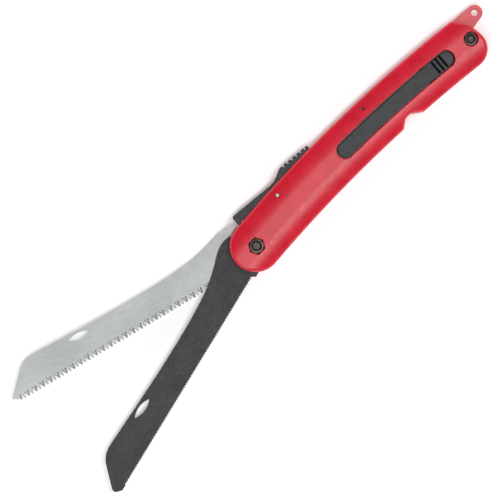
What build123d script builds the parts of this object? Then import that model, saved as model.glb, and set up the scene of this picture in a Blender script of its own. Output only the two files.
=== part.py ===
from build123d import *
from math import asin, atan2, cos, degrees, hypot, radians, sin, sqrt, tan
import os

# Folding drywall saw with two blades in a two-shell handle.
#
# Frame: millimetres. The saw lies flat on the outer face of its rear shell, at z = 0.
# The origin is where the blade pivot's axis meets that plane. +X runs from the pivot to
# the handle's tail, +Y points to the spine, where the lock lever is, and +Z points to
# the front shell, which has the belt clip and the nuts.

# ---------------------------------------------------------------- driving dimensions
# Handle
handle_reach = 178.5        # pivot axis to the tail end
half_width = 15.1           # centreline to either edge
handle_thick = 18.0
bow_radius = 850.0          # the handle's centreline is one long arc
bow_mid_x = 70.0            # where that arc is highest
bow_rise = 0.42             # height of the centreline over the pivot axis
nose_x = -0.4               # centre of the round nose
crown_flat = 8.0            # flat strip along the middle of each outer face
crown_drop = 2.2            # how much thinner each face is at the edge
edge_round = 2.0            # rounding of the shells' outer edges
tail_round = 25.0           # curve of the tail end, above
tail_corner = 11.5          # curve of the tail end, below
tail_top_corner = 3.2       # rounding where the spine edge meets the tail
rim_round = 0.4             # rounding of the rims of slots and recesses
wall_relief = 0.4           # how far inner pieces stay inside the shells' outline
pocket_long = 28.0          # weight-saving pockets moulded inside the shells
front_pocket_deep = 3.2
rear_pocket_deep = 3.6
pocket_step = 31.0

# Stack between the shells, from the rear: washer, blade, washer, blade, washer
washer_thick = 0.5
coarse_thick = 1.2
fine_thick = 1.0
stack_gap = 0.05            # running gap on each side of each blade

# Pivot
bolt_dia = 5.0              # M5 bolt and lock nut
bush_wall = 1.0
washer_dia = 15.0
running_gap = 0.05          # radial, for blades on the bush and levers on their pins
fixed_gap = 0.02            # radial, for pieces that don't turn
screw_gap = 0.1             # radial, for screws through the shells

# Tail screw, M4
tail_screw_dia = 4.0
tail_screw_inset = 6.2      # screw axis to the tail end

# Blades
blade_inset = 11.0          # folded blade tip to the tail end
open_angle = 165.7          # direction of a blade that is fully open
short_of_open = 27.96       # how far the fine blade stands from fully open
folded_angle = 358.2        # direction of a folded blade
coarse_pitch = 2.54         # 10 teeth to the inch
coarse_depth = 3.7
fine_pitch = 1.411          # 18 teeth to the inch
fine_depth = 0.9
teeth_start = 17.4
bevel_lean = 30.0           # slant of the ground flanks of the coarse teeth
eye_reach = 115.3           # finger eye of the blade and finger notch of the handle
eye_length = 14.0
eye_height = 3.8

# Lock lever
lever_pin_x = 29.2
lever_pin_dia = 2.6
lever_wide = 8.0
lever_side_gap = 0.3
lever_edge_round = 0.4
groove_pitch = 3.2
groove_count = 6
groove_wide = 1.1
spring_pocket = 1.0         # how deep the spring stands in the lever

# Belt clip
clip_front_x = 75.5         # centre of the slot's front end
clip_tail_inset = 24.7      # centre of the slot's rear end to the tail end
clip_slot_wide = 10.4
clip_gap = 0.9
clip_thick = 2.6
clip_sink = 0.3             # clip face below the shell face
clip_groove_deep = 1.0
clip_groove_wide = 1.15
clip_pin_dia = 2.0

# Lanyard tab
tab_thick = 3.0
tab_hole_dia = 3.8
tab_reach = 6.7             # lanyard hole beyond the tail end
tab_end_radius = 4.7

# ---------------------------------------------------------------- worked out from them
channel = 3 * washer_thick + coarse_thick + fine_thick + 4 * stack_gap
channel_low = (handle_thick - channel) / 2
channel_high = channel_low + channel
coarse_low = channel_low + washer_thick + stack_gap
middle_washer_low = coarse_low + coarse_thick + stack_gap
fine_low = middle_washer_low + washer_thick + stack_gap
front_washer_low = fine_low + fine_thick + stack_gap
middle_z = handle_thick / 2

bush_dia = bolt_dia + 2 * bush_wall
tang_radius = half_width - 1.5
heel_y = half_width - 6.1
teeth_y = half_width - 7.8
spine_y = -(half_width - 4.9)
blade_reach = handle_reach - blade_inset
sweep_radius = blade_reach + 1.5

lever_pin_y = half_width - 2.8
lever_room = lever_wide + 2 * lever_side_gap
lever_front_x = -0.6
lever_end_x = lever_pin_x + 33.4
lever_floor_y = lever_pin_y - 3.8
ledge_y = lever_pin_y - 3.1
ledge_front_x = lever_pin_x + 10.8
spring_x = lever_pin_x + 22.8
lock_slot_left = 0.35
lock_slot_y = lever_pin_y - 3.2
# two notches stand side by side, with a web of steel left between them
lock_slot_wide = 0.92 * lock_slot_y * radians(short_of_open)
tooth_end_x = lock_slot_left + lock_slot_wide - 0.45 - lever_pin_x
# the pockets leave a wall under the lever's spring
pocket_wide = 2 * (half_width - 9.6)
pocket_corner = 0.27 * pocket_wide

bow_centre_y = bow_rise - sqrt(bow_radius**2 - bow_mid_x**2)
bow_axis = Axis((bow_mid_x, bow_centre_y, 0), (0, 0, 1))


def bow_y(x, offset=0.0):
    """Height at x of the arc that runs at a distance from the handle's centreline."""
    return bow_centre_y + sqrt((bow_radius + offset) ** 2 - (x - bow_mid_x) ** 2)


def lean_at(x):
    """Angle by which the centreline has turned at x, in degrees."""
    return degrees(asin((x - bow_mid_x) / bow_radius))


def square_off(x, offset):
    """Point at a distance square off the centreline's point at x."""
    lean = radians(lean_at(x))
    return (x + offset * sin(lean), bow_y(x) + offset * cos(lean))


def across_plane(x, z):
    """Plane whose normal runs across the handle, square to its centreline at x."""
    lean = radians(lean_at(x))
    return Plane(origin=(x, bow_y(x), z), x_dir=(0, 0, 1), z_dir=(sin(lean), cos(lean), 0))


def blade_plane(angle, z):
    """Plane in which a blade's own X runs from the pivot to its tip."""
    turn = radians(angle)
    return Plane(origin=(0, 0, z), x_dir=(cos(turn), sin(turn), 0), z_dir=(0, 0, 1))


# ---------------------------------------------------------------- handle blank
# The closed shape of both shells together: the bowed outline with a round nose, a finger
# notch in the lower edge, crowned faces and rounded edges.
tail_mid_y = bow_y(handle_reach - 27.0) - 4.8
notch_top = bow_y(eye_reach, -half_width) + 4.2
notch_flat = 2.3
notch_slope = 1.3
notch_depth = 7.0
notch_run = notch_flat + notch_slope * notch_depth


def bowed_outline(inset):
    """Outline of the handle, drawn a little inside itself for the spacer."""
    half = half_width - inset
    end_x = handle_reach - inset
    top_x = handle_reach - 7.05
    top = (top_x, bow_y(top_x, half))
    tail_x = end_x - tail_round
    tail_turn = atan2(top[1] - tail_mid_y, top_x - tail_x) / 2
    with BuildSketch() as outline:
        with BuildLine():
            spine_edge = ThreePointArc(
                square_off(nose_x, half), (bow_mid_x, bow_y(bow_mid_x, half)), top)
            tail_edge = ThreePointArc(
                top,
                (tail_x + tail_round * cos(tail_turn), tail_mid_y + tail_round * sin(tail_turn)),
                (end_x, tail_mid_y),
            )
            drop = Line(tail_edge @ 1, (end_x, bow_y(end_x, -half)))
            lower_edge = ThreePointArc(
                drop @ 1, (bow_mid_x, bow_y(bow_mid_x, -half)), square_off(nose_x, -half))
            ThreePointArc(lower_edge @ 1, (nose_x - half, bow_y(nose_x)), spine_edge @ 0)
        make_face()
        corner_room = 0.86 * (tail_mid_y - bow_y(end_x, -half))
        fillet(outline.vertices().sort_by(Axis.Y)[0], min(tail_corner - inset, corner_room))
        fillet(outline.vertices().sort_by_distance(top)[0], tail_top_corner)
    return outline.sketch


with BuildSketch() as handle_outline:
    add(bowed_outline(0.0))
    with BuildLine():
        Polyline(
            (eye_reach - notch_run, notch_top - notch_depth),
            (eye_reach - notch_flat, notch_top),
            (eye_reach + notch_flat, notch_top),
            (eye_reach + notch_run, notch_top - notch_depth),
            close=True,
        )
    make_face(mode=Mode.SUBTRACT)
    notch_corners = handle_outline.vertices().filter_by(
        lambda v: abs(v.X - eye_reach) < notch_run and v.Y < notch_top + 0.01
    )
    fillet(notch_corners.sort_by(Axis.Y)[2:], 2.6)
    notch_mouth = handle_outline.vertices().filter_by(
        lambda v: abs(v.X - eye_reach) < notch_run and v.Y < notch_top - 3.5
    )
    fillet(notch_mouth, 1.6)

flank = half_width - crown_flat / 2
flank_radius = (flank**2 + crown_drop**2) / (2 * crown_drop)
flank_angle = degrees(asin((flank + 1.5) / flank_radius))
ring_start = lean_at(handle_reach + 15.0)
ring_end = lean_at(nose_x - half_width - 10.0)
start_turn = radians(ring_start)
section_origin = (
    bow_mid_x + bow_radius * sin(start_turn),
    bow_centre_y + bow_radius * cos(start_turn),
    middle_z,
)
section_plane = Plane(
    origin=section_origin,
    x_dir=(sin(start_turn), cos(start_turn), 0),
    z_dir=(cos(start_turn), -sin(start_turn), 0),
)
with BuildPart() as crowned_ring:
    with BuildSketch(section_plane):
        with BuildLine():
            flat = Line((0, handle_thick / 2), (crown_flat / 2, handle_thick / 2))
            side = CenterArc(
                (crown_flat / 2, handle_thick / 2 - flank_radius),
                flank_radius, 90, -flank_angle,
            )
            down = Line(side @ 1, ((side @ 1).X, 0))
            Polyline(down @ 1, (0, 0), flat @ 0)
        make_face()
        mirror(about=Plane.YZ)
        mirror(about=Plane.XZ)
    revolve(axis=bow_axis, revolution_arc=ring_start - ring_end)

with BuildPart() as handle_blank:
    with BuildSketch():
        add(handle_outline.sketch)
    extrude(amount=handle_thick)
    add(crowned_ring.part, mode=Mode.INTERSECT)
    walls = [face for face in handle_blank.faces() if abs(face.normal_at(face.center()).Z) < 0.02]
    wall_edges = ShapeList([edge for face in walls for edge in face.edges()])
    rim = [edge for edge in handle_blank.edges() if abs(edge.tangent_at(0.5).Z) < 0.9
           and any((edge.center() - other.center()).length < 1e-4 for other in wall_edges)]
    fillet(rim, edge_round)

# ---------------------------------------------------------------- shared positions
tail_screw_x = handle_reach - tail_screw_inset
tail_screw_at = (tail_screw_x, bow_y(tail_screw_x) - 0.1)
lever_pin_at = (lever_pin_x, lever_pin_y)
spacer_pin_x = 99.5
spacer_pin_dia = 2.0
spacer_pin_seat = 4.0       # depth of the spacer pin's blind bore in the rear shell
spacer_pin_below = 4.4      # pin's front end under the front shell's flat strip
spacer_pin_at = (spacer_pin_x, bow_y(spacer_pin_x, 9.9))
clip_tail_x = handle_reach - clip_tail_inset
clip_mid_x = (clip_front_x + clip_tail_x) / 2
clip_pin_x = clip_tail_x - 13.8
clip_top = handle_thick - clip_sink
clip_low = clip_top - clip_thick
clip_pin_z = clip_low - 0.6
clip_boss_radius = 2.0
clip_spring_x = clip_tail_x - 0.8
clip_pin_seat = 1.6         # depth of the clip pin's bores in the slot's walls
clip_line = ((clip_front_x, bow_y(clip_front_x, -0.2)), (clip_mid_x, bow_y(clip_mid_x, -0.2)),
             (clip_tail_x, bow_y(clip_tail_x, -0.2)))
clip_floor = clip_low - 0.4
clip_deep_floor = channel_high + 1.2
clip_spring_dia = 4.2
clip_spring_seat = 0.6
lever_low = middle_z - lever_wide / 2
lever_spring_dia = 5.4

nut_across = 8.0            # M5 lock nut, across its flats
nut_height = 3.4
nut_collar_height = 1.5
nut_recess_dia = 10.4       # hexagonal recess, across its corners
nut_seat_z = handle_thick - 5.3
head_dia = 9.5
head_height = 2.6
head_recess = 3.1           # depth of the screw head's counterbore
head_room = 0.4             # gap round each screw head
insert_lip = 0.35           # turned-over rim that holds each nylon insert
tail_nut_across = 7.0       # M4 lock nut, across its flats
tail_nut_height = 2.9
tail_collar_height = 1.4
tail_recess_dia = 8.4
tail_seat_z = handle_thick - 5.4
tail_head_dia = 7.6
tail_head_height = 2.2
tail_head_recess = 2.7


def screw_holes(face_z, direction):
    """Holes through one shell for the pivot bolt, tail screw, lever pin and spacer pin."""
    with BuildSketch(Plane.XY.offset(face_z)) as holes:
        Circle(bolt_dia / 2 + screw_gap)
        with Locations(tail_screw_at):
            Circle(tail_screw_dia / 2 + screw_gap)
        with Locations(lever_pin_at):
            Circle(lever_pin_dia / 2 + fixed_gap)
    extrude(holes.sketch, amount=handle_thick * direction, mode=Mode.SUBTRACT)


def lever_recess(face_z, direction):
    """Recess in one shell's inner face for half the lever's width, open at the spine."""
    depth = (lever_room - channel) / 2
    room_top = half_width + 20.0
    with BuildSketch(Plane.XY.offset(face_z)) as room:
        with BuildLine():
            Polyline(
                (lever_front_x, room_top),
                (lever_front_x, lever_floor_y),
                (ledge_front_x, lever_floor_y),
                (ledge_front_x, ledge_y),
                (lever_end_x, ledge_y),
                (lever_end_x, room_top),
                close=True,
            )
        make_face()
    extrude(room.sketch, amount=depth * direction, mode=Mode.SUBTRACT)


def coring_pockets(face_z, direction, centres, depth):
    """Weight-saving pockets between ribs, moulded in one shell's inner face."""
    with BuildSketch(Plane.XY.offset(face_z)) as pockets:
        for x in centres:
            with Locations(Location((x, bow_y(x, -0.8), 0), (0, 0, -lean_at(x)))):
                RectangleRounded(pocket_long, pocket_wide, pocket_corner)
    extrude(pockets.sketch, amount=depth * direction, mode=Mode.SUBTRACT)


def recess_rim(shell, at, dia, face_z):
    """Edges where a round recess opens on a shell's outer face."""
    return [edge for edge in shell.edges()
            if abs(edge.center().Z - face_z) < 0.6 and abs(edge.tangent_at(0.5).Z) < 0.5
            and abs(hypot(edge.center().X - at[0], edge.center().Y - at[1]) - dia / 2) < 1.6
            and hypot(edge.center().X - at[0], edge.center().Y - at[1]) < dia / 2 + 0.1]


# ---------------------------------------------------------------- front shell
# Moulded half with the belt clip's slot, the nut recesses and half the lever's recess.
with BuildPart() as front_shell:
    add(handle_blank.part)
    split(bisect_by=Plane.XY.offset(channel_high), keep=Keep.TOP)
    screw_holes(channel_high, 1)
    lever_recess(channel_high, 1)
    coring_pockets(channel_high, 1, (lever_pin_x + 2.0, lever_pin_x + 25.0), front_pocket_deep)
    # the spacer pin's hole runs right through, so the pin's end is seen from the front
    with BuildSketch(Plane.XY.offset(channel_high)):
        with Locations(spacer_pin_at):
            Circle(spacer_pin_dia / 2 + fixed_gap)
    extrude(amount=handle_thick, mode=Mode.SUBTRACT)
    with BuildSketch(Plane.XY.offset(nut_seat_z)):
        RegularPolygon(nut_recess_dia / 2, 6)
    extrude(amount=handle_thick, mode=Mode.SUBTRACT)
    with BuildSketch(Plane.XY.offset(tail_seat_z)):
        with Locations(tail_screw_at):
            Circle(tail_recess_dia / 2)
    extrude(amount=handle_thick, mode=Mode.SUBTRACT)
    # the clip's slot, deeper under the pressed end, with bores for the clip's pin
    with BuildSketch(Plane.XY.offset(clip_floor)) as clip_slot:
        SlotArc(ThreePointArc(*clip_line), clip_slot_wide)
    extrude(amount=handle_thick, mode=Mode.SUBTRACT)
    deep_front = clip_pin_x - 4.0
    with BuildSketch(Plane.XY.offset(clip_deep_floor)):
        add(clip_slot.sketch_local)
        with Locations((deep_front - 150.0, 0)):
            Rectangle(300.0, 100.0, mode=Mode.SUBTRACT)
    extrude(amount=handle_thick, mode=Mode.SUBTRACT)
    with BuildSketch(across_plane(clip_pin_x, clip_pin_z)):
        Circle(clip_pin_dia / 2 + fixed_gap)
    extrude(amount=clip_slot_wide / 2 + clip_pin_seat, both=True, mode=Mode.SUBTRACT)
    with BuildSketch(Plane.XY.offset(clip_deep_floor - clip_spring_seat)):
        with Locations((clip_spring_x, bow_y(clip_spring_x))):
            Circle(clip_spring_dia / 2 + 0.2)
    extrude(amount=clip_spring_seat + 1.0, mode=Mode.SUBTRACT)
    # softened rims of the slot and of the two nut recesses
    slot_rim = [edge for edge in front_shell.edges()
                if edge.center().Z > clip_top and abs(edge.tangent_at(0.5).Z) < 0.5
                and abs(edge.center().X - clip_mid_x) < clip_tail_x - clip_mid_x + clip_slot_wide / 2
                and abs(edge.center().Y - bow_y(edge.center().X)) < clip_slot_wide / 2 + rim_round]
    fillet(slot_rim, rim_round)
    fillet(recess_rim(front_shell, tail_screw_at, tail_recess_dia, handle_thick), rim_round)
    with BuildSketch(Plane.XY.offset(handle_thick - 0.35)):
        RegularPolygon(nut_recess_dia / 2, 6)
    extrude(amount=0.7, taper=-45, mode=Mode.SUBTRACT)
front_shell.part.label = "front_shell"

# ---------------------------------------------------------------- rear shell
# Moulded half with the counterbores for the screw heads. Its flat strip is the rest face.
with BuildPart() as rear_shell:
    add(handle_blank.part)
    split(bisect_by=Plane.XY.offset(channel_low), keep=Keep.BOTTOM)
    screw_holes(channel_low, -1)
    lever_recess(channel_low, -1)
    pocket_count = int((handle_reach - 25.0 - lever_pin_x) / pocket_step)
    pocket_centres = [lever_pin_x + 2.0 + pocket_step * i for i in range(pocket_count)]
    coring_pockets(channel_low, -1, pocket_centres, rear_pocket_deep)
    with BuildSketch(Plane.XY.offset(channel_low)):
        with Locations(spacer_pin_at):
            Circle(spacer_pin_dia / 2 + fixed_gap)
    extrude(amount=-spacer_pin_seat, mode=Mode.SUBTRACT)
    with BuildSketch():
        Circle(head_dia / 2 + head_room)
    extrude(amount=head_recess, mode=Mode.SUBTRACT)
    with BuildSketch():
        with Locations(tail_screw_at):
            Circle(tail_head_dia / 2 + head_room)
    extrude(amount=tail_head_recess, mode=Mode.SUBTRACT)
    fillet(recess_rim(rear_shell, (0, 0), head_dia + 2 * head_room, 0), rim_round)
    fillet(recess_rim(rear_shell, tail_screw_at, tail_head_dia + 2 * head_room, 0), rim_round)
rear_shell.part.label = "rear_shell"

# ---------------------------------------------------------------- spine spacer
# Flat bar between the shells along the spine and round the tail screw. It closes the
# blade channel, carries the lever spring's seat and ends in the lanyard tab.
with BuildSketch(blade_plane(folded_angle, channel_low)) as blade_bay:
    bay_top = teeth_y + 1.2
    Circle(sweep_radius)
    with Locations((0, bay_top + sweep_radius)):
        Rectangle(3 * sweep_radius, 2 * sweep_radius, mode=Mode.SUBTRACT)

with BuildPart() as spine_spacer:
    with BuildSketch(Plane.XY.offset(channel_low)):
        add(bowed_outline(wall_relief))
        add(blade_bay.sketch_local.moved(Location((0, 0, 0), (0, 0, folded_angle))),
            mode=Mode.SUBTRACT)
        front_cut = 400.0
        with Locations((ledge_front_x - front_cut / 2, 0)):
            Rectangle(front_cut, front_cut, mode=Mode.SUBTRACT)
        with Locations((lever_end_x - front_cut / 2, ledge_y + front_cut / 2)):
            Rectangle(front_cut, front_cut, mode=Mode.SUBTRACT)
    extrude(amount=channel)
    tab_hole_at = (handle_reach + tab_reach, bow_y(handle_reach + tab_reach) + 10.85)
    with BuildSketch(Plane.XY.offset(middle_z - tab_thick / 2)):
        with Locations(tab_hole_at):
            Circle(tab_end_radius)
        with Locations((handle_reach - 7.5, bow_y(handle_reach - 7.5, half_width) - 1.8)):
            Circle(1.2)
        with Locations((handle_reach - 4.0, tail_mid_y + 6.8)):
            Circle(1.5)
        make_hull()
    extrude(amount=tab_thick)
    with BuildSketch(Plane.XY.offset(channel_low)):
        with Locations(tab_hole_at):
            Circle(tab_hole_dia / 2)
        with Locations(tail_screw_at):
            Circle(tail_screw_dia / 2 + screw_gap)
        with Locations(spacer_pin_at):
            Circle(spacer_pin_dia / 2 + fixed_gap)
    extrude(amount=channel, mode=Mode.SUBTRACT)
    lanyard_rim = spine_spacer.edges().filter_by(GeomType.CIRCLE).filter_by(
        lambda e: abs(e.radius - tab_hole_dia / 2) < 0.01
        and (e.arc_center - Vector(*tab_hole_at, e.arc_center.Z)).length < 0.1
    )
    chamfer(lanyard_rim, 0.3)
spine_spacer.part.label = "spine_spacer"

# ---------------------------------------------------------------- washers and bush
def spacer_washer(low_z):
    """Thin washer round the pivot bush."""
    with BuildPart() as washer:
        with BuildSketch(Plane.XY.offset(low_z)):
            Circle(washer_dia / 2)
            Circle(bush_dia / 2 + fixed_gap, mode=Mode.SUBTRACT)
        extrude(amount=washer_thick)
    return washer.part


rear_washer = spacer_washer(channel_low)
rear_washer.label = "rear_washer"
middle_washer = spacer_washer(middle_washer_low)
middle_washer.label = "middle_washer"
front_washer = spacer_washer(front_washer_low)
front_washer.label = "front_washer"

with BuildPart() as pivot_bush:
    with BuildSketch(Plane.XY.offset(channel_low)):
        Circle(bush_dia / 2)
        Circle(bolt_dia / 2 + fixed_gap, mode=Mode.SUBTRACT)
    extrude(amount=channel)
pivot_bush.part.label = "pivot_bush"


# ---------------------------------------------------------------- bolts and lock nuts
def button_head_bolt(at, shank_dia, head, height, head_low, end_z, socket_across):
    """Button-head bolt that points up +Z, with a hexagonal socket in its head."""
    with BuildPart() as bolt:
        with BuildSketch(Plane.XY.offset(head_low)):
            with Locations(at):
                Circle(head / 2)
        extrude(amount=height)
        fillet(bolt.edges().sort_by(Axis.Z)[0], 0.62 * height)
        with BuildSketch(Plane.XY.offset(head_low + height)):
            with Locations(at):
                Circle(shank_dia / 2)
        extrude(amount=end_z - head_low - height)
        chamfer(bolt.edges().sort_by(Axis.Z)[-1], 0.12 * shank_dia)
        with BuildSketch(Plane.XY.offset(head_low)):
            with Locations(at):
                RegularPolygon(socket_across / 2, 6, major_radius=False)
        extrude(amount=0.65 * height, mode=Mode.SUBTRACT)
    return bolt.part


def lock_nut(at, shank_dia, across, height, collar_height, seat_z, insert_dia):
    """Hexagonal nut with a round collar that holds a nylon insert."""
    with BuildPart() as nut:
        with BuildSketch(Plane.XY.offset(seat_z)):
            with Locations(at):
                RegularPolygon(across / 2, 6, major_radius=False)
        extrude(amount=height)
        with BuildSketch(Plane.XY.offset(seat_z)):
            with Locations(at):
                Circle(across / 2 * 1.1)
        extrude(amount=height, mode=Mode.INTERSECT)
        with BuildSketch(Plane.XY.offset(seat_z + height)):
            with Locations(at):
                Circle(across / 2 - 0.2)
        extrude(amount=collar_height)
        fillet(nut.edges().sort_by(Axis.Z)[-1], 0.45)
        with BuildSketch(Plane.XY.offset(seat_z)):
            with Locations(at):
                Circle(shank_dia / 2 + fixed_gap)
        extrude(amount=height, mode=Mode.SUBTRACT)
        with BuildSketch(Plane.XY.offset(seat_z + height)):
            with Locations(at):
                Circle(insert_dia / 2)
        extrude(amount=collar_height - insert_lip, mode=Mode.SUBTRACT)
        with BuildSketch(Plane.XY.offset(seat_z + height)):
            with Locations(at):
                Circle(insert_dia / 2 - 0.25)
        extrude(amount=collar_height, mode=Mode.SUBTRACT)
    return nut.part


def nylon_insert(at, shank_dia, height, collar_height, seat_z, insert_dia):
    """Nylon ring that grips the thread, held in the lock nut's collar."""
    with BuildPart() as ring:
        with BuildSketch(Plane.XY.offset(seat_z + height)):
            with Locations(at):
                Circle(insert_dia / 2 - fixed_gap)
                Circle(shank_dia / 2 + fixed_gap, mode=Mode.SUBTRACT)
        extrude(amount=collar_height - insert_lip)
    return ring.part


pivot_insert_dia = 6.8
tail_insert_dia = 5.7
pivot_bolt = button_head_bolt(
    (0, 0), bolt_dia, head_dia, head_height, head_recess - head_height,
    nut_seat_z + nut_height + 1.3, 3.0)
pivot_bolt.label = "pivot_bolt"
pivot_nut = lock_nut(
    (0, 0), bolt_dia, nut_across, nut_height, nut_collar_height, nut_seat_z, pivot_insert_dia)
pivot_nut.label = "pivot_nut"
pivot_nut_insert = nylon_insert(
    (0, 0), bolt_dia, nut_height, nut_collar_height, nut_seat_z, pivot_insert_dia)
pivot_nut_insert.label = "pivot_nut_insert"
tail_screw = button_head_bolt(
    tail_screw_at, tail_screw_dia, tail_head_dia, tail_head_height,
    tail_head_recess - tail_head_height, tail_seat_z + tail_nut_height + 0.4, 2.5)
tail_screw.label = "tail_screw"
tail_nut = lock_nut(
    tail_screw_at, tail_screw_dia, tail_nut_across, tail_nut_height, tail_collar_height,
    tail_seat_z, tail_insert_dia)
tail_nut.label = "tail_nut"
tail_nut_insert = nylon_insert(
    tail_screw_at, tail_screw_dia, tail_nut_height, tail_collar_height, tail_seat_z,
    tail_insert_dia)
tail_nut_insert.label = "tail_nut_insert"

# ---------------------------------------------------------------- pins
with BuildPart() as lever_pin:
    lever_pin_end = 0.9
    with BuildSketch(Plane.XY.offset(lever_pin_end)):
        with Locations(lever_pin_at):
            Circle(lever_pin_dia / 2)
    extrude(amount=handle_thick - 2 * lever_pin_end)
    chamfer(lever_pin.edges().filter_by(GeomType.CIRCLE), 0.2)
lever_pin.part.label = "lever_pin"

with BuildPart() as spacer_pin:
    spacer_pin_low = channel_low - spacer_pin_seat + 0.2
    with BuildSketch(Plane.XY.offset(spacer_pin_low)):
        with Locations(spacer_pin_at):
            Circle(spacer_pin_dia / 2)
    extrude(amount=handle_thick - spacer_pin_below - spacer_pin_low)
spacer_pin.part.label = "spacer_pin"

with BuildPart() as clip_pin:
    with BuildSketch(across_plane(clip_pin_x, clip_pin_z)):
        Circle(clip_pin_dia / 2)
    extrude(amount=clip_slot_wide / 2 + clip_pin_seat - 0.1, both=True)
clip_pin.part.label = "clip_pin"

# ---------------------------------------------------------------- blades
eye_radius = (eye_length**2 + eye_height**2) / (4 * eye_height)
lock_angles = (open_angle, open_angle + short_of_open, folded_angle)
tip_corner_radius = 14.3


def blade_blank(reach, tip_y, edge_points):
    """Outline of a blade: toothed edge, slanted tip, bellied spine and round tang."""
    spine_end_x = reach - 23.5
    corner_y = spine_y - 2.55
    with BuildLine() as edge:
        spine = Spline(
            (3.2, -(half_width + 1.0)),
            (12.5, -(half_width + 2.7)),
            (22.0, -(half_width + 0.1)),
            (34.0, spine_y - 2.1),
            (50.0, spine_y - 0.5),
            (75.0, spine_y),
            (reach - 56.0, spine_y - 0.9),
            (spine_end_x, spine_y - 2.3),
        )
        Polyline(
            spine @ 1,
            (reach - tip_y + corner_y, corner_y),
            (reach, tip_y),
            *edge_points,
            (teeth_start - 0.9, teeth_y),
            (teeth_start - 1.9, heel_y),
            (sqrt(tang_radius**2 - heel_y**2), heel_y),
        )
        hump_foot = radians(-76.0)
        tang = ThreePointArc(
            (sqrt(tang_radius**2 - heel_y**2), heel_y),
            (-tang_radius, 0),
            (tang_radius * cos(hump_foot), tang_radius * sin(hump_foot)),
        )
        Line(tang @ 1, spine @ 0)
    make_face(edge.edges())


def blade_openings(sketch, reach, tip_y):
    """Round the tip's rear corner; cut the bore, the finger eye and the lock notches."""
    corner = sketch.vertices().sort_by_distance((reach - tip_y + spine_y - 2.55, spine_y - 2.55))[0]
    fillet(corner, tip_corner_radius)
    Circle(bush_dia / 2 + running_gap, mode=Mode.SUBTRACT)
    with Locations(Location((eye_reach, spine_y + 2.5, 0), (0, 0, -5.5))):
        with Locations((0, eye_radius - eye_height / 2)):
            lens = Circle(eye_radius, mode=Mode.PRIVATE)
        with Locations((0, eye_height / 2 - eye_radius)):
            other_lens = Circle(eye_radius, mode=Mode.PRIVATE)
    add(lens & other_lens, mode=Mode.SUBTRACT)
    for angle in lock_angles:
        with Locations(Location((0, 0, 0), (0, 0, -angle))):
            with Locations((lock_slot_left + lock_slot_wide / 2, lock_slot_y + 6.0)):
                Rectangle(lock_slot_wide, 12.0, mode=Mode.SUBTRACT)


coarse_tip_y = 4.0
coarse_teeth_y = teeth_y + 0.25
coarse_count = int((blade_reach - 4.5 - teeth_start) / coarse_pitch)
with BuildPart() as coarse_blade:
    with BuildSketch(blade_plane(open_angle, coarse_low)) as coarse_face:
        blade_blank(
            blade_reach, coarse_tip_y,
            ((blade_reach - 4.5, coarse_teeth_y - 0.6), (blade_reach - 6.0, coarse_teeth_y)),
        )
        blade_openings(coarse_face, blade_reach, coarse_tip_y)
    extrude(amount=coarse_thick)
    # Each gullet is ground at a slant, and the next one at the other slant, so that
    # every second tooth is narrow on the front face and the ones between on the rear.
    for side in (1, -1):
        slant = tan(radians(bevel_lean)) * side
        margin = 1.0
        shift = slant * (coarse_thick / 2 + margin)
        with BuildSketch(blade_plane(open_angle, coarse_low - margin)):
            for tooth in range(0 if side == 1 else 1, coarse_count, 2):
                gullet_x = teeth_start + tooth * coarse_pitch - shift
                with BuildLine():
                    Polyline(
                        (gullet_x + 0.71, coarse_teeth_y + 1.0),
                        (gullet_x + 0.71, coarse_teeth_y),
                        (gullet_x + 2.35, coarse_teeth_y - coarse_depth),
                        (gullet_x + 2.72, coarse_teeth_y - coarse_depth),
                        (gullet_x + 3.06, coarse_teeth_y),
                        (gullet_x + 3.06, coarse_teeth_y + 1.0),
                        close=True,
                    )
                make_face()
        turn = radians(open_angle)
        grind = Vector(slant * cos(turn), slant * sin(turn), 1.0)
        extrude(amount=(coarse_thick + 2 * margin) * grind.length, dir=grind,
                mode=Mode.SUBTRACT)
coarse_blade.part.label = "coarse_blade"

fine_tip_y = 3.5
fine_reach = blade_reach - 1.5
fine_count = int((fine_reach - 6.5 - teeth_start) / fine_pitch)
fine_teeth = []
for tooth in reversed(range(fine_count)):
    root_x = teeth_start + tooth * fine_pitch
    fine_teeth.append((root_x + fine_pitch - 0.35, teeth_y))
    fine_teeth.append((root_x, teeth_y - fine_depth))
with BuildPart() as fine_blade:
    with BuildSketch(blade_plane(open_angle + short_of_open, fine_low)) as fine_face:
        blade_blank(
            fine_reach, fine_tip_y,
            [(fine_reach - 4.4, teeth_y), *fine_teeth],
        )
        fillet(fine_face.vertices().sort_by_distance((fine_reach, fine_tip_y))[0], 2.6)
        blade_openings(fine_face, fine_reach, fine_tip_y)
    extrude(amount=fine_thick)
fine_blade.part.label = "fine_blade"

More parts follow.
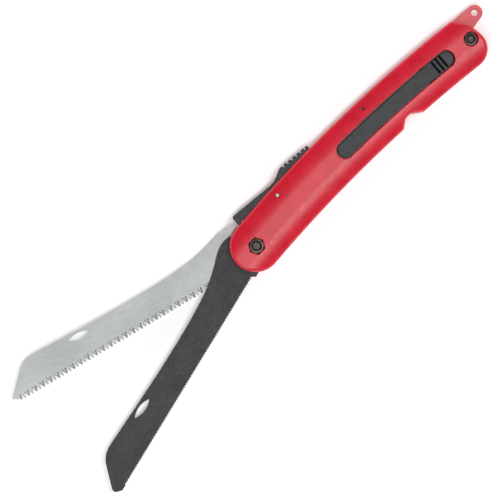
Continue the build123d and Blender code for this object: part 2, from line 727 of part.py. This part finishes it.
# ---------------------------------------------------------------- lock lever
# Rocks on its pin. Its nose drops into the notches of the blades' tangs, and its ribbed
# thumb pad stands over the spring. The profile is drawn from the pin's axis.
with BuildPart() as lock_lever:
    with BuildSketch(Plane((lever_pin_x, lever_pin_y, lever_low))) as lever_face:
        with BuildLine():
            top_line = Line((-26.9, 9.55), (0.6, 6.9))
            ramp = Spline(
                top_line @ 1, (5.8, 7.5), (12.3, 10.2),
                tangents=((1, -0.09), (0.9, 0.25)),
            )
            Polyline(
                ramp @ 1,
                (32.5, 8.4),
                (32.6, 2.9),
                (10.8, 2.9),
                (3.4, -1.9),
                (-4.5, -2.4),
                (-15.2, 0.0),
                (-21.2, 3.1),
                (tooth_end_x, 4.1),
                (tooth_end_x, 1.35),
                (-28.4, 2.1),
                (-27.75, 9.0),
                top_line @ 0,
            )
        make_face()
        Circle(lever_pin_dia / 2 + 1.9)
        Circle(lever_pin_dia / 2 + running_gap, mode=Mode.SUBTRACT)
        groove_slope = -5.1
        with Locations(Location((13.9, 10.06, 0), (0, 0, groove_slope))):
            with Locations(*[(groove_pitch * (i + 0.2), 0) for i in range(groove_count)]):
                SlotOverall(2.6, groove_wide, rotation=90, mode=Mode.SUBTRACT)
    extrude(amount=lever_wide)
    # between its cheeks the lever is hollowed behind the tooth, to clear the tangs
    with BuildSketch(Plane((lever_pin_x, lever_pin_y, channel_low))):
        with BuildLine():
            Polyline(
                (-15.2, -0.5),
                (-21.2, 3.4),
                (tooth_end_x, 5.6),
                (tooth_end_x, 3.0),
                (-21.2, 2.3),
                close=True,
            )
        make_face()
    extrude(amount=channel, mode=Mode.SUBTRACT)
    # blind pocket that centres the spring
    with BuildSketch(Plane(origin=(spring_x, lever_pin_y + 2.9, middle_z),
                           x_dir=(1, 0, 0), z_dir=(0, 1, 0))):
        Circle(lever_spring_dia / 2 + 0.25)
    extrude(amount=spring_pocket, mode=Mode.SUBTRACT)
    # rounded ribs and upper edges, where the thumb rests
    fillet(lock_lever.edges().filter_by(Axis.Z).filter_by(
        lambda edge: edge.center().Y > lever_pin_y + 6.5), lever_edge_round)
    fillet(lock_lever.edges().filter_by(
        lambda edge: abs(abs(edge.center().Z - middle_z) - lever_wide / 2) < 0.001
        and edge.center().Y > lever_pin_y + 4.0), lever_edge_round)
lock_lever.part.label = "lock_lever"

# ---------------------------------------------------------------- springs
def coil(start, direction, length, outer_dia, wire, turns):
    """Compression spring from a start point along a direction."""
    with BuildPart() as spring:
        with BuildLine() as path:
            Helix(
                pitch=(length - wire) / turns,
                height=length - wire,
                radius=(outer_dia - wire) / 2,
                center=Vector(*start) + Vector(*direction) * (wire / 2),
                direction=direction,
            )
        with BuildSketch(Plane(origin=path.line @ 0, z_dir=path.line % 0)):
            Circle(wire / 2)
        sweep()
    return spring.part


lever_spring = coil(
    (spring_x, ledge_y, middle_z), (0, 1, 0),
    lever_pin_y + 2.9 + spring_pocket - ledge_y, lever_spring_dia, 0.6, 6)
lever_spring.label = "lever_spring"
clip_spring = coil(
    (clip_spring_x, bow_y(clip_spring_x), clip_deep_floor - clip_spring_seat), (0, 0, 1),
    clip_low - clip_deep_floor + clip_spring_seat, clip_spring_dia, 0.45, 3)
clip_spring.label = "clip_spring"

# ---------------------------------------------------------------- belt clip
# A bar that lies in the front shell's slot. Pressing its grooved end lifts the long arm.
with BuildPart() as belt_clip:
    with BuildSketch(Plane.XY.offset(clip_low)):
        SlotArc(ThreePointArc(*clip_line), clip_slot_wide - 2 * clip_gap)
    extrude(amount=clip_thick + 2 * clip_sink)
    add(crowned_ring.part.moved(Location((0, 0, -clip_sink))), mode=Mode.INTERSECT)
    chamfer(belt_clip.edges().group_by(Axis.Z)[-1], 0.3)
    with BuildSketch(Plane.XY.offset(clip_top - clip_groove_deep)):
        for i in range(3):
            groove_x = clip_tail_x - 2.0 - 2.8 * i
            with Locations(Location((groove_x, bow_y(groove_x), 0), (0, 0, -lean_at(groove_x)))):
                Rectangle(clip_groove_wide, clip_slot_wide)
    extrude(amount=clip_thick, mode=Mode.SUBTRACT)
    with BuildSketch(across_plane(clip_pin_x, clip_pin_z)):
        Circle(clip_boss_radius)
        with Locations((clip_boss_radius, 0)):
            Rectangle(2 * clip_boss_radius, 2 * clip_boss_radius)
    extrude(amount=3.4, both=True)
    with BuildSketch(Plane.XY.offset(clip_top - 0.7)):
        with Locations(Location((clip_pin_x, bow_y(clip_pin_x), 0), (0, 0, -lean_at(clip_pin_x)))):
            Rectangle(12.0, 12.0)
    extrude(amount=6.0, mode=Mode.SUBTRACT)
    with BuildSketch(across_plane(clip_pin_x, clip_pin_z)):
        Circle(clip_pin_dia / 2 + running_gap)
    extrude(amount=clip_slot_wide, both=True, mode=Mode.SUBTRACT)
belt_clip.part.label = "belt_clip"

# ---------------------------------------------------------------- one file for each piece
os.makedirs("parts", exist_ok=True)
export_step(front_shell.part, "parts/front_shell.step")
export_step(rear_shell.part, "parts/rear_shell.step")
export_step(spine_spacer.part, "parts/spine_spacer.step")
export_step(rear_washer, "parts/rear_washer.step")
export_step(middle_washer, "parts/middle_washer.step")
export_step(front_washer, "parts/front_washer.step")
export_step(pivot_bush.part, "parts/pivot_bush.step")
export_step(pivot_bolt, "parts/pivot_bolt.step")
export_step(pivot_nut, "parts/pivot_nut.step")
export_step(pivot_nut_insert, "parts/pivot_nut_insert.step")
export_step(tail_screw, "parts/tail_screw.step")
export_step(tail_nut, "parts/tail_nut.step")
export_step(tail_nut_insert, "parts/tail_nut_insert.step")
export_step(lever_pin.part, "parts/lever_pin.step")
export_step(spacer_pin.part, "parts/spacer_pin.step")
export_step(clip_pin.part, "parts/clip_pin.step")
export_step(coarse_blade.part, "parts/coarse_blade.step")
export_step(fine_blade.part, "parts/fine_blade.step")
export_step(lock_lever.part, "parts/lock_lever.step")
export_step(lever_spring, "parts/lever_spring.step")
export_step(clip_spring, "parts/clip_spring.step")
export_step(belt_clip.part, "parts/belt_clip.step")
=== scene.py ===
from math import cos, pi, radians, tan

import bpy
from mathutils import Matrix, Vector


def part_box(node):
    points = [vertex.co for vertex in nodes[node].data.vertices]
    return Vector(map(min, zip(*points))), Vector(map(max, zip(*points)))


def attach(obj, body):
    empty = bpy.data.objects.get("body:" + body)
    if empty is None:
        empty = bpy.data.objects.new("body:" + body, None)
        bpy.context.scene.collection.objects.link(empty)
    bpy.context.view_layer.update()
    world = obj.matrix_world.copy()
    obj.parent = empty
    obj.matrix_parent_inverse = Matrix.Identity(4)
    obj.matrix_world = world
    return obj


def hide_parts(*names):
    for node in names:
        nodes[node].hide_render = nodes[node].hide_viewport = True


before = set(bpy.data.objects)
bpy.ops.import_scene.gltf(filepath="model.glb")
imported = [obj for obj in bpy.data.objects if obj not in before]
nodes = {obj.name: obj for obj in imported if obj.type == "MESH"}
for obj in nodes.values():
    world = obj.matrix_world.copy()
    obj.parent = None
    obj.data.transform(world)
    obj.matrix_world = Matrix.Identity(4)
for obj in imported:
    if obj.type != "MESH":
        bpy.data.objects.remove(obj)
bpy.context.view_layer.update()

bpy.ops.object.select_all(action="DESELECT")

# ---- Handle shells ----
# Two halves moulded in red glass-filled nylon and clamped by the pivot and tail screws.
# The mould's eroded skin leaves a fine satin grain, and the melt a faint mottle. Shade is
# painted into the colour in the slot of the belt clip, darkest at its floor.


def finish(name, colour, roughness, metallic=0.0, specular=0.5):
    """A new material, with what is the same all over it set on the shader's sockets."""
    made = bpy.data.materials.new(name)
    made.use_nodes = True
    shader = made.node_tree.nodes["Principled BSDF"]
    shader.inputs["Base Color"].default_value = (*colour, 1.0)
    shader.inputs["Roughness"].default_value = roughness
    shader.inputs["Metallic"].default_value = metallic
    shader.inputs["Specular IOR Level"].default_value = specular
    return made


def cloud(material, scale, detail=3.0, long=1.0, turn=0.0):
    """Noise over the piece; long draws it out along the direction given by turn."""
    tree = material.node_tree
    place = tree.nodes.new("ShaderNodeTexCoord")
    lay = tree.nodes.new("ShaderNodeMapping")
    lay.vector_type = "TEXTURE"
    lay.inputs["Rotation"].default_value = (0.0, 0.0, turn)
    lay.inputs["Scale"].default_value = (long, 1.0, 1.0)
    grain = tree.nodes.new("ShaderNodeTexNoise")
    grain.inputs["Scale"].default_value = scale
    grain.inputs["Detail"].default_value = detail
    tree.links.new(place.outputs["Object"], lay.inputs["Vector"])
    tree.links.new(lay.outputs["Vector"], grain.inputs["Vector"])
    return grain.outputs["Fac"]


def tint(material, pattern, dark, light, start=0.35, end=0.65):
    """Lets a pattern choose between two colours."""
    tree = material.node_tree
    ramp = tree.nodes.new("ShaderNodeValToRGB")
    for stop, at, colour in zip(ramp.color_ramp.elements, (start, end), (dark, light)):
        stop.position = at
        stop.color = (*colour, 1.0)
    tree.links.new(pattern, ramp.inputs["Fac"])
    tree.links.new(ramp.outputs["Color"],
                   tree.nodes["Principled BSDF"].inputs["Base Color"])


def polish(material, pattern, smooth, rough):
    """Lets a pattern choose between two roughnesses."""
    tree = material.node_tree
    span = tree.nodes.new("ShaderNodeMapRange")
    span.inputs["From Min"].default_value = 0.3
    span.inputs["From Max"].default_value = 0.7
    span.inputs["To Min"].default_value = smooth
    span.inputs["To Max"].default_value = rough
    tree.links.new(pattern, span.inputs["Value"])
    tree.links.new(span.outputs["Result"],
                   tree.nodes["Principled BSDF"].inputs["Roughness"])


def relief(material, pattern, depth, strength):
    """Lets a pattern raise the surface, by a depth in metres."""
    tree = material.node_tree
    bump = tree.nodes.new("ShaderNodeBump")
    bump.inputs["Distance"].default_value = depth
    bump.inputs["Strength"].default_value = strength
    tree.links.new(pattern, bump.inputs["Height"])
    tree.links.new(bump.outputs["Normal"],
                   tree.nodes["Principled BSDF"].inputs["Normal"])


def cover(material, *names):
    """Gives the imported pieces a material."""
    for name in names:
        nodes[name].material_slots[0].material = material


def darken(material, pattern):
    """Multiplies the colour by a pattern, which is 1 where the colour stays; here it paints
    shade.
    """
    tree = material.node_tree
    colour = tree.nodes["Principled BSDF"].inputs["Base Color"]
    shaded = tree.nodes.new("ShaderNodeMix")
    shaded.data_type = "RGBA"
    shaded.blend_type = "MULTIPLY"
    shaded.inputs["Factor"].default_value = 1.0
    tree.links.new(colour.links[0].from_socket, shaded.inputs["A"])
    tree.links.new(pattern, shaded.inputs["B"])
    tree.links.new(shaded.outputs["Result"], colour)


def paint_slot_shade(material, middle, half_size, floor_z, rim_z, least):
    """Paints shade into a slot: darkens it from not at all at its rim to the least brightness
    at its floor.
    """
    tree = material.node_tree
    place = tree.nodes.new("ShaderNodeTexCoord")
    apart = tree.nodes.new("ShaderNodeSeparateXYZ")
    tree.links.new(place.outputs["Object"], apart.inputs["Vector"])
    rising = tree.nodes.new("ShaderNodeMapRange")
    rising.inputs["From Min"].default_value = floor_z
    rising.inputs["From Max"].default_value = rim_z
    rising.inputs["To Min"].default_value = least
    tree.links.new(apart.outputs["Z"], rising.inputs["Value"])
    clear = rising.outputs["Result"]
    for axis, centre, reach in zip(("X", "Y"), middle, half_size):
        away = tree.nodes.new("ShaderNodeMath")
        away.operation = "SUBTRACT"
        away.inputs[1].default_value = centre
        far = tree.nodes.new("ShaderNodeMath")
        far.operation = "ABSOLUTE"
        outside = tree.nodes.new("ShaderNodeMapRange")
        outside.inputs["From Min"].default_value = reach
        outside.inputs["From Max"].default_value = 1.02 * reach
        either = tree.nodes.new("ShaderNodeMath")
        either.operation = "MAXIMUM"
        tree.links.new(apart.outputs[axis], away.inputs[0])
        tree.links.new(away.outputs["Value"], far.inputs[0])
        tree.links.new(far.outputs["Value"], outside.inputs["Value"])
        tree.links.new(clear, either.inputs[0])
        tree.links.new(outside.outputs["Result"], either.inputs[1])
        clear = either.outputs["Value"]
    darken(material, clear)


def moulded_red(name):
    """Red nylon, a little uneven in colour and gloss, with a fine grain."""
    made = finish(name, (0.52, 0.006, 0.022), 0.32, specular=0.4)
    tint(made, cloud(made, 90.0), (0.485, 0.005, 0.020), (0.555, 0.009, 0.028))
    polish(made, cloud(made, 450.0), 0.27, 0.37)
    relief(made, cloud(made, 3500.0, 2.0), 0.00003, 0.3)
    return made


cover(moulded_red("rear_red"), "rear_shell")
front_red = moulded_red("front_red")
clip_low, clip_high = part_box("belt_clip")
slot_margin = 0.001
# Painted shade: the slot round the belt clip is darkened towards its floor.
paint_slot_shade(front_red,
          middle=[(clip_low[axis] + clip_high[axis]) / 2 for axis in (0, 1)],
          half_size=[(clip_high[axis] - clip_low[axis]) / 2 + slot_margin for axis in (0, 1)],
          floor_z=0.0158, rim_z=0.0172, least=0.2)
cover(front_red, "front_shell")

# ---- Spine spacer and lanyard tab ----
# One flat bar moulded in the same red nylon, pinned between the shells. It is smoother
# than they are, and paler at the thin tab, where light gets through.
spacer_red = finish("spacer_red", (0.58, 0.06, 0.075), 0.4, specular=0.5)
tint(spacer_red, cloud(spacer_red, 160.0), (0.53, 0.045, 0.06), (0.61, 0.075, 0.09))
polish(spacer_red, cloud(spacer_red, 500.0), 0.34, 0.46)
relief(spacer_red, cloud(spacer_red, 2500.0, 2.0), 0.00002, 0.3)
cover(spacer_red, "spine_spacer")

# ---- Pivot bush and washers ----
# A turned steel bush that the blades swing on, and thin washers punched from bronze
# strip that keep them apart. The washers have tarnished a little, in patches.
plain_steel = finish("plain_steel", (0.5, 0.49, 0.47), 0.32, 1.0)
tint(plain_steel, cloud(plain_steel, 900.0), (0.42, 0.41, 0.40), (0.55, 0.54, 0.53))
polish(plain_steel, cloud(plain_steel, 1800.0), 0.24, 0.42)
cover(plain_steel, "pivot_bush")
bronze = finish("bronze", (0.55, 0.36, 0.16), 0.35, 1.0)
tint(bronze, cloud(bronze, 500.0), (0.40, 0.25, 0.11), (0.58, 0.39, 0.18))
polish(bronze, cloud(bronze, 1200.0), 0.28, 0.48)
cover(bronze, "rear_washer", "middle_washer", "front_washer")

# ---- Pivot bolt and tail screw ----
# Button-head screws of steel blackened in hot oxide, put in from the rear. The oxide is
# dark and half glossy, and turns brown where it is thin.
black_oxide = finish("black_oxide", (0.035, 0.033, 0.032), 0.36, 0.7)
tint(black_oxide, cloud(black_oxide, 900.0), (0.022, 0.020, 0.020), (0.055, 0.046, 0.040))
polish(black_oxide, cloud(black_oxide, 1800.0), 0.28, 0.46)
relief(black_oxide, cloud(black_oxide, 5000.0, 2.0), 0.00002, 0.2)
cover(black_oxide, "spacer_pin", "clip_pin")


def pick(piece, wanted):
    """In edit mode, selects the faces that a test on their centre and normal picks."""
    bpy.ops.mesh.select_mode(type="FACE")
    bpy.ops.mesh.select_all(action="DESELECT")
    bpy.ops.object.mode_set(mode="OBJECT")
    for face in piece.data.polygons:
        face.select = wanted(face.center, face.normal)
    bpy.ops.object.mode_set(mode="EDIT")


def at_height(z):
    """Test for the level faces at a height."""
    return lambda centre, normal: abs(centre.z - z) < 1e-5 and abs(normal.z) > 0.99


def lift(distance):
    """Extrudes the picked faces along Z."""
    bpy.ops.mesh.extrude_region_move(TRANSFORM_OT_translate={"value": (0.0, 0.0, distance)})


def cut(piece, tool, how):
    """Cuts a piece by a tool, or keeps what they share, and removes the tool."""
    bite = piece.modifiers.new("bite", "BOOLEAN")
    bite.operation = how
    bite.solver = "EXACT"
    bite.object = tool
    bpy.context.view_layer.objects.active = piece
    bpy.ops.object.modifier_apply(modifier=bite.name)
    bpy.data.objects.remove(tool)


def settle(piece, material, node):
    """Puts a finished piece at the origin, shades it, and stands it in for its node."""
    bpy.ops.object.select_all(action="DESELECT")
    piece.select_set(True)
    bpy.context.view_layer.objects.active = piece
    bpy.ops.object.transform_apply(location=True, rotation=True, scale=True)
    bpy.ops.object.mode_set(mode="EDIT")
    bpy.ops.mesh.select_all(action="SELECT")
    bpy.ops.mesh.remove_doubles(threshold=1e-6)
    bpy.ops.mesh.normals_make_consistent(inside=False)
    bpy.ops.object.mode_set(mode="OBJECT")
    bpy.ops.object.shade_smooth_by_angle(angle=radians(32.0))
    piece.data.materials.clear()
    piece.data.materials.append(material)
    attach(piece, "handle")
    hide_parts(node)
    piece.select_set(False)


def button_screw(node, head_height, shank_dia, socket_across):
    """Button-head screw in place of its node: domed head, hexagonal socket, dished end."""
    low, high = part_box(node)
    head_dia = high[0] - low[0]
    middle = ((low[0] + high[0]) / 2, (low[1] + high[1]) / 2)
    bpy.ops.mesh.primitive_cylinder_add(
        vertices=72, radius=head_dia / 2, depth=head_height,
        location=(*middle, low[2] + head_height / 2))
    screw = bpy.context.object
    screw.name = node + "_turned"
    bpy.ops.object.transform_apply(location=True)
    bpy.ops.object.mode_set(mode="EDIT")
    pick(screw, at_height(low[2]))
    bpy.ops.mesh.bevel(offset=0.6 * head_height, segments=8, affect="EDGES")
    pick(screw, at_height(low[2] + head_height))
    bpy.ops.mesh.inset(thickness=(head_dia - shank_dia) / 2)
    lift(high[2] - low[2] - head_height - 0.1 * shank_dia)
    lift(0.1 * shank_dia)
    bpy.ops.transform.resize(value=(0.8, 0.8, 1.0), center_override=(*middle, high[2]))
    bpy.ops.mesh.inset(thickness=0.16 * shank_dia)
    lift(-0.05 * shank_dia)
    bpy.ops.object.mode_set(mode="OBJECT")
    socket_depth = 0.62 * head_height
    bpy.ops.mesh.primitive_cone_add(
        vertices=6, radius1=0.62 * socket_across, radius2=socket_across / 2 / cos(pi / 6),
        depth=0.1 * head_height, location=(*middle, low[2] + 0.05 * head_height))
    cut(screw, bpy.context.object, "DIFFERENCE")
    bpy.ops.mesh.primitive_cylinder_add(
        vertices=6, radius=socket_across / 2 / cos(pi / 6), depth=2 * socket_depth,
        location=(*middle, low[2]))
    cut(screw, bpy.context.object, "DIFFERENCE")
    settle(screw, black_oxide, node)


button_screw("pivot_bolt", head_height=0.0026, shank_dia=0.0050, socket_across=0.0030)
button_screw("tail_screw", head_height=0.0022, shank_dia=0.0040, socket_across=0.0025)

# ---- Lock nuts ----
# Hexagonal nuts sunk in the front shell, blackened like the screws. The corners are
# turned off at a slant, and a rolled collar holds a ring of black nylon on the thread.
# Spanners have rubbed the slant brown, in a ring round the nut's axis.


def rubbed_oxide(name, middle, ring_radius, ring_wide):
    """Hot oxide with a rubbed ring, of a radius and width in metres."""
    made = finish(name, (0.03, 0.028, 0.027), 0.36, 0.7)
    tree = made.node_tree
    spread = 100.0  # the ramp runs from the axis out to 10 mm
    place = tree.nodes.new("ShaderNodeTexCoord")
    lay = tree.nodes.new("ShaderNodeMapping")
    lay.inputs["Location"].default_value = (-spread * middle[0], -spread * middle[1], 0.0)
    lay.inputs["Scale"].default_value = (spread, spread, 0.0)
    out = tree.nodes.new("ShaderNodeVectorMath")
    out.operation = "LENGTH"
    ring = tree.nodes.new("ShaderNodeValToRGB")
    oxide, rubbed = (0.012, 0.012, 0.012, 1.0), (0.20, 0.155, 0.125, 1.0)
    shades = ((-0.5, oxide), (-0.3, rubbed), (0.3, rubbed), (0.5, oxide))
    stops = ring.color_ramp.elements
    stops.new(0.4)
    stops.new(0.6)
    for stop, (step, shade) in zip(stops, shades):
        stop.position = spread * (ring_radius + step * ring_wide)
        stop.color = shade
    tree.links.new(place.outputs["Object"], lay.inputs["Vector"])
    tree.links.new(lay.outputs["Vector"], out.inputs[0])
    tree.links.new(out.outputs["Value"], ring.inputs["Fac"])
    tree.links.new(ring.outputs["Color"],
                   tree.nodes["Principled BSDF"].inputs["Base Color"])
    polish(made, cloud(made, 1800.0), 0.28, 0.46)
    relief(made, cloud(made, 5000.0, 2.0), 0.00002, 0.2)
    return made


def lock_nut(node, across, hex_height, opening, bore):
    """Lock nut in place of its node: chamfered hexagon, rolled collar, through bore."""
    low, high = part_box(node)
    middle = ((low[0] + high[0]) / 2, (low[1] + high[1]) / 2)
    hex_top = low[2] + hex_height
    bpy.ops.mesh.primitive_cylinder_add(
        vertices=6, radius=across / 2 / cos(pi / 6), depth=hex_height,
        location=(*middle, low[2] + hex_height / 2), rotation=(0.0, 0.0, pi / 6))
    nut = bpy.context.object
    nut.name = node + "_turned"
    chamfer_top = 0.485 * across
    bpy.ops.mesh.primitive_cone_add(
        vertices=96, radius1=chamfer_top + hex_height / tan(pi / 6), radius2=chamfer_top,
        depth=hex_height, location=(*middle, low[2] + hex_height / 2))
    cut(nut, bpy.context.object, "INTERSECT")
    bpy.ops.object.select_all(action="DESELECT")
    nut.select_set(True)
    bpy.ops.object.transform_apply(location=True, rotation=True)
    collar = high[2] - hex_top
    bpy.ops.object.mode_set(mode="EDIT")
    pick(nut, at_height(hex_top))
    bpy.ops.mesh.inset(thickness=0.05 * across)
    lift(0.55 * collar)
    for rise, narrower in ((0.25, 0.03), (0.14, 0.035), (0.06, 0.045)):
        lift(rise * collar)
        wide = 1.0 - narrower
        bpy.ops.transform.resize(value=(wide, wide, 1.0), center_override=(*middle, high[2]))
    bpy.ops.object.mode_set(mode="OBJECT")
    bpy.ops.mesh.primitive_cylinder_add(
        vertices=96, radius=opening / 2, depth=2 * collar, location=(*middle, high[2]))
    cut(nut, bpy.context.object, "DIFFERENCE")
    bpy.ops.mesh.primitive_cylinder_add(
        vertices=96, radius=bore / 2, depth=4 * hex_height, location=(*middle, low[2]))
    cut(nut, bpy.context.object, "DIFFERENCE")
    settle(nut, rubbed_oxide(node + "_oxide", middle, 0.435 * across, 0.10 * across),
           node)


lock_nut("pivot_nut", across=0.0080, hex_height=0.0034, opening=0.0063, bore=0.00504)
lock_nut("tail_nut", across=0.0070, hex_height=0.0029, opening=0.0052, bore=0.00404)
nylon_black = finish("nylon_black", (0.008, 0.008, 0.009), 0.5, specular=0.25)
tint(nylon_black, cloud(nylon_black, 1200.0), (0.006, 0.006, 0.007), (0.011, 0.011, 0.012))
cover(nylon_black, "pivot_nut_insert", "tail_nut_insert")

# ---- Coarse blade ----
# Hardened steel ground satin along its length, with long teeth ground at a slant from
# each side in turn. It is left bright, with fine scratches and faint heat clouds.
coarse_way = radians(165.7)
bright_steel = finish("bright_steel", (0.33, 0.34, 0.345), 0.52, 1.0)
scratches = cloud(bright_steel, 1600.0, 3.0, 9.0, coarse_way)
tint(bright_steel, scratches, (0.295, 0.305, 0.31), (0.36, 0.37, 0.375), 0.3, 0.7)
polish(bright_steel, cloud(bright_steel, 45.0, 4.0, 1.8, coarse_way), 0.47, 0.56)
relief(bright_steel, scratches, 0.00001, 0.12)
cover(bright_steel, "coarse_blade")

# ---- Fine blade ----
# The same steel with small teeth, under a matt black low-friction coating that has a
# faint orange peel.
coated_black = finish("coated_black", (0.022, 0.021, 0.025), 0.5, specular=0.32)
tint(coated_black, cloud(coated_black, 150.0, 5.0), (0.017, 0.016, 0.020),
     (0.028, 0.027, 0.031))
polish(coated_black, cloud(coated_black, 700.0), 0.44, 0.58)
relief(coated_black, cloud(coated_black, 2600.0, 3.0), 0.00003, 0.4)
cover(coated_black, "fine_blade")

# ---- Lever pin ----
# A bright steel cross pin that the lock lever rocks on, pressed into both shells. Its
# ends are rounded over and dished.
pin_low, pin_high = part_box("lever_pin")
pin_dia = pin_high[0] - pin_low[0]
pin_middle = ((pin_low[0] + pin_high[0]) / 2, (pin_low[1] + pin_high[1]) / 2)
bpy.ops.mesh.primitive_cylinder_add(
    vertices=48, radius=pin_dia / 2, depth=pin_high[2] - pin_low[2],
    location=(*pin_middle, (pin_low[2] + pin_high[2]) / 2))
lever_pin = bpy.context.object
lever_pin.name = "lever_pin_turned"
bpy.ops.object.transform_apply(location=True)
bpy.ops.object.mode_set(mode="EDIT")
for end, inward in ((pin_low[2], 1.0), (pin_high[2], -1.0)):
    pick(lever_pin, at_height(end))
    bpy.ops.mesh.bevel(offset=0.18 * pin_dia, segments=5, affect="EDGES")
    pick(lever_pin, at_height(end))
    bpy.ops.mesh.inset(thickness=0.12 * pin_dia)
    lift(inward * 0.08 * pin_dia)
bpy.ops.object.mode_set(mode="OBJECT")
pin_steel = finish("pin_steel", (0.30, 0.29, 0.28), 0.42, 1.0)
tint(pin_steel, cloud(pin_steel, 1500.0), (0.24, 0.23, 0.22), (0.34, 0.33, 0.32))
polish(pin_steel, cloud(pin_steel, 2500.0), 0.34, 0.5)
settle(lever_pin, pin_steel, "lever_pin")

# ---- Lock lever and belt clip ----
# Both are moulded in dark grey nylon with a fine grain, and each rocks on its pin. The
# three grooves at the clip's pressed end have shade painted into their colour, and are made
# dull.


def moulded_grey(name):
    """Dark grey nylon, a little uneven in colour and gloss."""
    made = finish(name, (0.019, 0.021, 0.022), 0.45, specular=0.32)
    tint(made, cloud(made, 180.0), (0.015, 0.017, 0.018), (0.024, 0.026, 0.027))
    polish(made, cloud(made, 600.0), 0.40, 0.52)
    relief(made, cloud(made, 3500.0, 2.0), 0.00003, 0.35)
    return made


def paint_groove_shade(material, middle, lean, apart, wide):
    """Paints shade into three grooves, side by side round a middle point, and makes them
    dull.
    """
    tree = material.node_tree
    sheen = tree.nodes["Principled BSDF"].inputs["Roughness"]
    place = tree.nodes.new("ShaderNodeTexCoord")
    lay = tree.nodes.new("ShaderNodeMapping")
    lay.vector_type = "TEXTURE"
    lay.inputs["Location"].default_value = (*middle, 0.0)
    lay.inputs["Rotation"].default_value = (0.0, 0.0, lean)
    along = tree.nodes.new("ShaderNodeSeparateXYZ")
    span = tree.nodes.new("ShaderNodeMapRange")
    span.inputs["From Min"].default_value = -2 * apart
    span.inputs["From Max"].default_value = 2 * apart
    groove_shade = tree.nodes.new("ShaderNodeValToRGB")
    stops = groove_shade.color_ramp.elements
    for groove in (0.25, 0.5, 0.75):
        for step, shade in ((-0.6, 1.0), (-0.45, 0.0), (0.45, 0.0), (0.6, 1.0)):
            stop = stops.new(groove + step * wide / (4 * apart))
            stop.color = (shade, shade, shade, 1.0)
    stops.remove(stops[0])
    stops.remove(stops[len(stops) - 1])
    dulled = tree.nodes.new("ShaderNodeMix")
    dulled.inputs["A"].default_value = 1.0
    tree.links.new(place.outputs["Object"], lay.inputs["Vector"])
    tree.links.new(lay.outputs["Vector"], along.inputs["Vector"])
    tree.links.new(along.outputs["X"], span.inputs["Value"])
    tree.links.new(span.outputs["Result"], groove_shade.inputs["Fac"])
    darken(material, groove_shade.outputs["Color"])
    tree.links.new(groove_shade.outputs["Color"], dulled.inputs["Factor"])
    tree.links.new(sheen.links[0].from_socket, dulled.inputs["B"])
    tree.links.new(dulled.outputs["Result"], sheen)


cover(moulded_grey("lever_nylon"), "lock_lever")
clip_nylon = moulded_grey("clip_nylon")
middle_groove_inset = 0.0091
# Painted shade: the clip's three grooves are darkened, and also made rough.
paint_groove_shade(clip_nylon, middle=(clip_high[0] - middle_groove_inset, 0.0),
             lean=radians(-4.7), apart=0.0028, wide=0.0013)
cover(clip_nylon, "belt_clip")

# ---- Springs ----
# Compression springs wound from hard-drawn wire. One stands under the lever's thumb pad
# and one under the clip's pressed end.
spring_wire = finish("spring_wire", (0.42, 0.42, 0.42), 0.28, 1.0)
tint(spring_wire, cloud(spring_wire, 2000.0), (0.34, 0.34, 0.34), (0.46, 0.46, 0.46))
polish(spring_wire, cloud(spring_wire, 2500.0), 0.2, 0.38)
cover(spring_wire, "lever_spring", "clip_spring")

# ---- Floor ----
# A plain white sheet of board that the saw lies on. It is lit faintly from within, like
# a light table, so that shadows on it stay pale.
bpy.ops.mesh.primitive_plane_add(size=8.0, location=(0.0, 0.0, -0.0002))
floor = bpy.context.object
floor.name = "floor"
board_white = finish("board_white", (0.93, 0.93, 0.93), 0.9, specular=0.2)
board = board_white.node_tree.nodes["Principled BSDF"]
board.inputs["Emission Color"].default_value = (1.0, 1.0, 1.0, 1.0)
board.inputs["Emission Strength"].default_value = 0.12
floor.data.materials.append(board_white)

# ---- Studio light ----
# One long soft box hangs overhead along the handle, a little towards its lower edge. The
# room's walls are white low down, all round, and dark above, so flat faces stay calm.
room = bpy.data.worlds.new("room")
bpy.context.scene.world = room
room.use_nodes = True
room_tree = room.node_tree
looking = room_tree.nodes.new("ShaderNodeTexCoord")
split = room_tree.nodes.new("ShaderNodeSeparateXYZ")
walls = room_tree.nodes.new("ShaderNodeValToRGB")
wall_shades = ((0.0, 2.1), (0.35, 1.8), (0.62, 0.10), (1.0, 0.14))
stops = walls.color_ramp.elements
stops.new(0.35)
stops.new(0.62)
for stop, (at, shade) in zip(stops, wall_shades):
    stop.position = at
    stop.color = (shade, shade, shade, 1.0)
room_tree.links.new(looking.outputs["Generated"], split.inputs["Vector"])
room_tree.links.new(split.outputs["Z"], walls.inputs["Fac"])
room_tree.links.new(walls.outputs["Color"], room_tree.nodes["Background"].inputs["Color"])
bpy.ops.object.light_add(type="AREA", location=(0.0, -0.24, 1.9))
soft_box = bpy.context.object
soft_box.name = "soft_box"
soft_box.data.shape = "RECTANGLE"
soft_box.data.size = 2.4
soft_box.data.size_y = 0.28
soft_box.data.energy = 28.0

# ---- Camera ----
# It looks straight down through a long lens, turned by an eighth of a turn, so that the
# handle runs up to the right. The view is 290 mm wide at the saw.
view_width = 0.290
lens = 200.0
sensor = 36.0
bpy.ops.object.camera_add(
    location=(-0.00435, 0.00107, 0.0120 + view_width * lens / sensor),
    rotation=(0.0, 0.0, radians(-45.0)))
camera = bpy.context.object
camera.name = "camera"
camera.data.lens = lens
camera.data.sensor_width = sensor
camera.data.clip_end = 20.0
bpy.context.scene.camera = camera
bpy.context.scene.view_settings.view_transform = "Standard"
